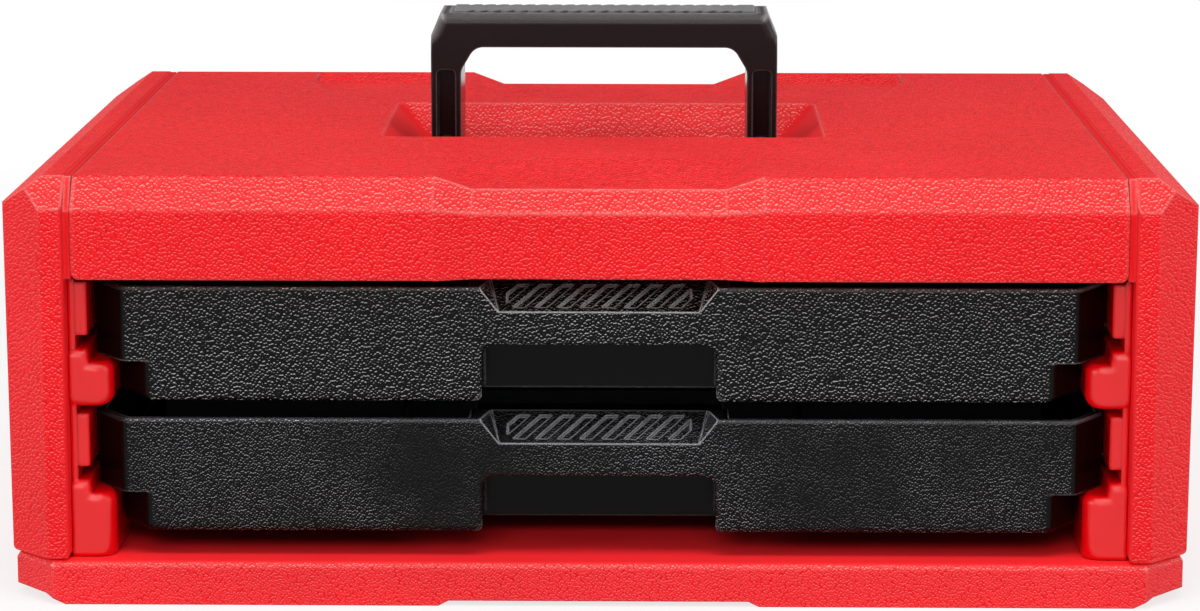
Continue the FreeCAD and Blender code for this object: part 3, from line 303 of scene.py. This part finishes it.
def leather(t, place, normal, cell, steep):
    """Moulded leather grain of round pebbles: its height, and 1 on the pebbles' upper flanks."""
    waves = t.noise(place, WANDER_SCALE / cell, WANDER_DETAIL, "Color")
    wander = t.add("VectorMath", t.vector("SUBTRACT", waves, NOISE_MIDDLE), operation="SCALE")
    t.fill(wander, Scale=WANDER * cell)
    moved = t.vector("ADD", along_face(t, place, normal), wander.outputs["Vector"])
    face = t.add("Mapping", moved, (0, 0, 0), (0, 0, PEBBLE_TURN), PEBBLE_SHAPE).outputs[0]
    above = t.vector("ADD", face, tuple(step * cell for step in FLANK_STEP))
    heights = []
    for spot in (face, above):
        cells = t.add("TexVoronoi", feature="F1", voronoi_dimensions="2D")
        t.fill(cells, Vector=spot, Scale=1.0 / cell, Randomness=PEBBLE_SCATTER)
        away = t.maths("DIVIDE", cells.outputs["Distance"], PEBBLE_REACH)
        heights.append(t.maths("MULTIPLY_ADD", t.product(away, away), -1.0, 1.0))
    fall = t.maths("SUBTRACT", *heights)
    flank = t.product(t.ramp(fall, *steep), t.ramp(heights[0], *FLANK_HEIGHT))
    return heights[0], flank


# ---------------------------------------------------------------- what differs over a piece
# A function of x, y and z gets the shaded point in mm.
def millimetres(t, place):
    """The three coordinates in mm."""
    return [t.product(coordinate, 1 / MM) for coordinate in t.add("SeparateXYZ", place).outputs]


def band(t, value, low, high):
    """1 where a value in mm lies between two, fading at both ends."""
    above = t.ramp(value, low - TEXTURE_FADE, low + TEXTURE_FADE)
    below = t.fade(value, high - TEXTURE_FADE, high + TEXTURE_FADE)
    return t.product(above, below)


def sideways(t):
    """How far the shaded face looks to the left or the right, from 0 to 1."""
    return t.maths("ABSOLUTE", t.part(t.normal(), "X"))


def drawer_grain(drawer):
    """A drawer's front and thumb scoop are textured.

    Its inside, its finger opening and the corners of its front are smooth.
    """
    rim = DRAWER_BOTTOMS[drawer] + DRAWER_RIM

    def grained(t, x, y, z):
        front = t.fade(y, *DRAWER_FACE)
        scoop = t.product(band(t, x, -SCOOP_HALF, SCOOP_HALF),
                          band(t, z, rim - SCOOP_DROP, rim + SCOOP_ABOVE),
                          t.fade(y, *SCOOP_BACK))
        corner = t.product(t.ramp(sideways(t), *CORNER_ASIDE),
                           t.ramp(t.maths("ABSOLUTE", x), *DRAWER_CORNER))
        return t.product(t.maths("MAXIMUM", front, scoop), t.fade(corner, 0.0, 1.0))
    return grained


def base_grain(t, x, y, z):
    """The outside of the base is textured, its tray floor smooth."""
    return t.fade(z, *BASE_TEXTURE)


def panel_grain(t, x, y, z):
    """The outside of an end panel is textured, the face along the cover smooth."""
    return t.ramp(t.maths("ABSOLUTE", x), *PANEL_TEXTURE)


def cover_grain(t, x, y, z):
    """The cover is textured but for the ends of the handle's well."""
    end = t.product(t.ramp(sideways(t), *WELL_ASIDE),
                    band(t, t.maths("ABSOLUTE", x), *WELL_ENDS),
                    t.fade(t.maths("ABSOLUTE", y), *WELL_REACH))
    return t.maths("SUBTRACT", 1.0, end)


def handle_softness(t, x, y, z):
    """The upper edges of the handle's bar are rounder than its other edges."""
    return t.ramp(z, *BAR_SHOULDER, EDGE_SOFTNESS, BAR_SOFTNESS)


# ---------------------------------------------------------------- materials
def plastic(name, colours, cell, relief, roughness, specular, grained=None, bare=None,
            polish=0.16, roof=0.0, steep=BLACK_FALL, crests=BLACK_GLINT_SHARES, patches=0.15, veil=0.0,
            folds=FOLD_HIGHLIGHT, level_folds=1.0, softness=EDGE_SOFTNESS):
    """Moulded plastic with leather grain, in three colours: painted shade in its crevices, its
    face, and painted highlight on its crests and folds.

    cell and relief are the width and the height of the grain's pebbles.
    grained(t, x, y, z) is 1 where the tool was textured.  Elsewhere polish is the roughness, and
    bare the colour if it isn't that of the face.  roof is added to a level face's roughness.
    steep is the fall that makes a flank, and crests how much painted glint upright, sloping and
    level faces show.  patches is how much of it wide clouds take away, veil how much painted
    sheen lies all over a slope, folds how much painted highlight the edges show, and level_folds
    what share of that is left on a level face.
    softness is the edges' radius, or a function such as grained that gives it.
    """
    material, t, shader = new_material(name)
    crevice_shade, face, highlight_colour = [linear(colour) for colour in colours]
    place = t.place()
    mask = grained(t, *millimetres(t, place)) if grained else 1.0
    if bare:
        face = t.mix(mask, linear(bare), face)
    flat = t.normal()
    height, flank = leather(t, place, flat, cell, steep)
    if callable(softness):
        softness = softness(t, *millimetres(t, place))
    rounded = t.rounded_normal(softness)
    upward = t.part(flat, "Z")
    level = t.ramp(upward, *LEVEL)
    # colour: painted shade in the crevices, the face, and painted highlights on crests, slopes and
    # folds
    on_upright, on_sloping, on_level = crests
    crevice_shade_share = t.product(mask, t.ramp(height, *PIT_HEIGHT))
    painted_glints = t.product(mask, flank,
                     t.ramp(t.noise(place, *CLOUDS), *CLOUD_SPREAD, 1.0 - patches, 1.0),
                     t.ramp(upward, *SLOPING, on_upright, on_sloping),
                     t.ramp(level, 0.0, 1.0, 1.0, on_level / on_sloping))
    # painted highlight along sharp edges, stronger where they face up towards the lamps
    fold = t.product(t.ramp(t.number("DOT_PRODUCT", rounded, flat), *FOLD_TURN, 0.0, folds),
                     t.ramp(t.part(rounded, "Z"), *FOLD_UPWARD, FOLD_FAINT, 1.0),
                     t.ramp(height, *FOLD_HEIGHT, FOLD_PITTED, 1.0),
                     t.ramp(level, 0.0, 1.0, 1.0, level_folds))
    # painted sheen on sloping faces
    painted_sheen = t.product(t.ramp(upward, *SLOPING, 0.0, veil), t.fade(level, 0.0, 1.0))
    pale = t.maths("ADD", painted_sheen, t.maths("MAXIMUM", painted_glints, fold), clamp=True)
    colour = t.mix(pale, t.mix(crevice_shade_share, face, crevice_shade), highlight_colour)
    mottle = t.product(level, mask, t.wandering(place, MOTTLE_NOISE, -MOTTLE, MOTTLE))
    brightness = t.maths("ADD", mottle, t.wandering(place, TONE_NOISE, *TONE))
    # gloss: duller where it lies level and is rubbed
    worn = t.wandering(place, GLOSS_NOISE, *GLOSS_WEAR)
    dull = t.ramp(mask, 0.0, 1.0, polish, roughness) if grained else roughness
    dull = t.maths("MULTIPLY_ADD", level, roof, t.maths("ADD", worn, dull))
    bump = t.bump(height, relief, mask)
    t.fill(bump, Normal=rounded)
    t.fill(shader, Base_Color=t.brightened(colour, brightness), Roughness=dull,
           Specular_IOR_Level=specular, Normal=bump.outputs[0])
    return material


def red(name, grained=None, bare=None, polish=0.36, face=RED, cell=1.35 * MM, relief=0.2 * MM,
        folds=RED_FOLD_HIGHLIGHT, softness=RED_SOFTNESS):
    """Red plastic with leather grain."""
    return plastic(name, (RED_CREVICE_SHADE, face, RED_HIGHLIGHT), cell, relief, roughness=0.36,
                   specular=0.1, grained=grained, bare=bare, polish=polish, roof=0.42,
                   steep=RED_FALL, crests=RED_GLINT_SHARES, veil=RED_SLOPE_SHEEN, folds=folds,
                   level_folds=RED_LEVEL_FOLD_HIGHLIGHT, softness=softness)


def smooth_plastic(name, colour, roughness, specular=0.5, softness=EDGE_SOFTNESS):
    """Moulded plastic from a polished tool, with faint flow marks."""
    material, t, shader = new_material(name)
    place = t.place()
    brightness = t.wandering(place, FLOW_TONE_NOISE, *FLOW_TONE)
    worn = t.wandering(place, FLOW_GLOSS_NOISE, *[roughness + wear for wear in GLOSS_WEAR])
    bump = t.bump(t.noise(place, *FLOW_NOISE), FLOW_RELIEF)
    t.fill(bump, Normal=t.rounded_normal(softness))
    t.fill(shader, Base_Color=t.brightened(linear(colour), brightness), Roughness=worn,
           Specular_IOR_Level=specular, Normal=bump.outputs[0])
    return material


def steel(name):
    """Zinc-plated steel."""
    material, t, shader = new_material(name)
    speckle = t.noise(t.place(), *PLATING_NOISE)
    t.fill(shader, Base_Color=t.mix(speckle, linear(STEEL), linear(STEEL_DARK)), Metallic=1.0,
           Roughness=t.ramp(speckle, *NOISE_SPREAD, *PLATING_ROUGHNESS),
           Normal=t.bump(speckle, PLATING_RELIEF).outputs[0])
    return material


SLOT_FINISHES = {
    "red_grained": red("red_grained"),
    "red_smooth": smooth_plastic("red_smooth", RED_POLISHED, roughness=0.07, specular=0.45,
                                 softness=RAIL_SOFTNESS),
    "black_handle": plastic("black_handle", (HANDLE_TINTED_BLACK, HANDLE_TINTED_BLACK, BLACK_HIGHLIGHT),
                            cell=0.6 * MM, relief=0.015 * MM, roughness=0.14, specular=0.12,
                            roof=0.5, crests=HANDLE_GLINT_SHARES, folds=0.5, softness=handle_softness),
    "grip_grey": plastic("grip_grey", (HANDLE_TINTED_BLACK, GRIP_GREY, GRIP_HIGHLIGHT),
                         cell=0.6 * MM, relief=0.08 * MM, roughness=0.45, specular=0.3),
    "tray_grey": smooth_plastic("tray_grey", TRAY_GREY, roughness=0.38),
    "steel": steel("steel"),
}
NODE_FINISHES = {                # for nodes that don't look just like their slot
    "base_tray": red("red_base", base_grain, RED_FLOOR_LIFTED, face=RED_BASE, cell=1.1 * MM,
                     relief=0.14 * MM, folds=1.0),
    "top_cover": red("red_cover", cover_grain, polish=0.85, softness=COVER_SOFTNESS),
    "end_panel_left": red("red_panel", panel_grain, polish=0.85),
    "upper_drawer": plastic("black_upper", (BLACK_CREVICE_SHADE, BLACK, BLACK_HIGHLIGHT),
                            cell=1.3 * MM, relief=0.24 * MM, roughness=0.28, specular=0.1,
                            grained=drawer_grain("upper_drawer"), bare=BLACK_SHADED_BARE),
    "lower_drawer": plastic("black_lower", (BLACK_CREVICE_SHADE, BLACK, LOWER_DRAWER_HIGHLIGHT),
                            cell=1.05 * MM, relief=0.16 * MM, roughness=0.3, specular=0.1,
                            grained=drawer_grain("lower_drawer"), bare=BLACK_SHADED_BARE, patches=0.95),
}
NODE_FINISHES["end_panel_right"] = NODE_FINISHES["end_panel_left"]


def dress_nodes():
    """Give each CAD node its own finish, or that of its material slot."""
    for part in RECORD["subparts"]:
        materials = NODES[part["node"]].data.materials
        materials.clear()
        materials.append(NODE_FINISHES.get(part["node"]) or SLOT_FINISHES[part["material_slot"]])


# ---------------------------------------------------------------- studio
def make_floor():
    """A plain pale floor under the box, which fades to white around it."""
    bpy.ops.mesh.primitive_plane_add(size=FLOOR_WIDTH, location=(0, 0, 0))
    floor = bpy.context.object
    floor.name = "studio_floor"
    material, t, shader = new_material("floor_white")
    t.fill(shader, Base_Color=linear(FLOOR), Roughness=FLOOR_ROUGHNESS)
    distance = t.number("LENGTH", t.place())
    share = t.add("MapRange", distance, *FLOOR_FADE, FLOOR_WHITE, 1.0,
                  interpolation_type="SMOOTHSTEP").outputs[0]
    white = t.add("Emission", PLAIN_WHITE, 1.0)
    blend = t.add("MixShader", t.product(t.seen_plainly(), share), shader.outputs[0],
                  white.outputs[0])
    t.fill(t.output, Surface=blend.outputs[0])
    floor.data.materials.append(material)


def make_world():
    """Even soft light, and a white background for the camera and for reflections."""
    world = bpy.data.worlds.new("studio")
    bpy.context.scene.world = world
    world.use_nodes = True
    t = Tree(world.node_tree)
    strength = t.ramp(t.seen_plainly(), 0.0, 1.0, WORLD_LIGHT, 1.0)
    background = t.add("Background", PLAIN_WHITE, strength)
    t.fill(t.add("OutputWorld"), Surface=background.outputs[0])


def area_light(name, place, size, watts):
    """A rectangular softbox aimed at the box."""
    data = bpy.data.lights.new(name, "AREA")
    data.shape = "RECTANGLE"
    data.size, data.size_y = size
    data.energy = watts
    light = bpy.data.objects.new(name, data)
    bpy.context.scene.collection.objects.link(light)
    light.location = place
    light.rotation_mode = "QUATERNION"
    light.rotation_quaternion = (Vector(LAMP_TARGET) - Vector(place)).to_track_quat("-Z", "Y")


def make_camera():
    """The photograph's camera."""
    data = bpy.data.cameras.new("camera")
    data.sensor_width = CAMERA_SENSOR
    data.lens = CAMERA_LENS
    data.clip_start, data.clip_end = CAMERA_RANGE
    camera = bpy.data.objects.new("camera", data)
    bpy.context.scene.collection.objects.link(camera)
    forward = Vector((math.sin(CAMERA_YAW) * math.cos(CAMERA_PITCH),
                      math.cos(CAMERA_YAW) * math.cos(CAMERA_PITCH), -math.sin(CAMERA_PITCH)))
    right = Vector((math.cos(CAMERA_YAW), -math.sin(CAMERA_YAW), 0))
    up = right.cross(forward)
    turned_right = right * math.cos(CAMERA_ROLL) + up * math.sin(CAMERA_ROLL)
    turned_up = up * math.cos(CAMERA_ROLL) - right * math.sin(CAMERA_ROLL)
    axes = Matrix((turned_right, turned_up, -forward)).transposed()
    camera.matrix_world = Matrix.Translation(CAMERA_PLACE) @ axes.to_4x4()
    bpy.context.scene.camera = camera


dress_nodes()
make_floor()
make_world()
for lamp in LAMPS:
    area_light(*lamp)
make_camera()
bpy.context.scene.view_settings.view_transform = "Standard"
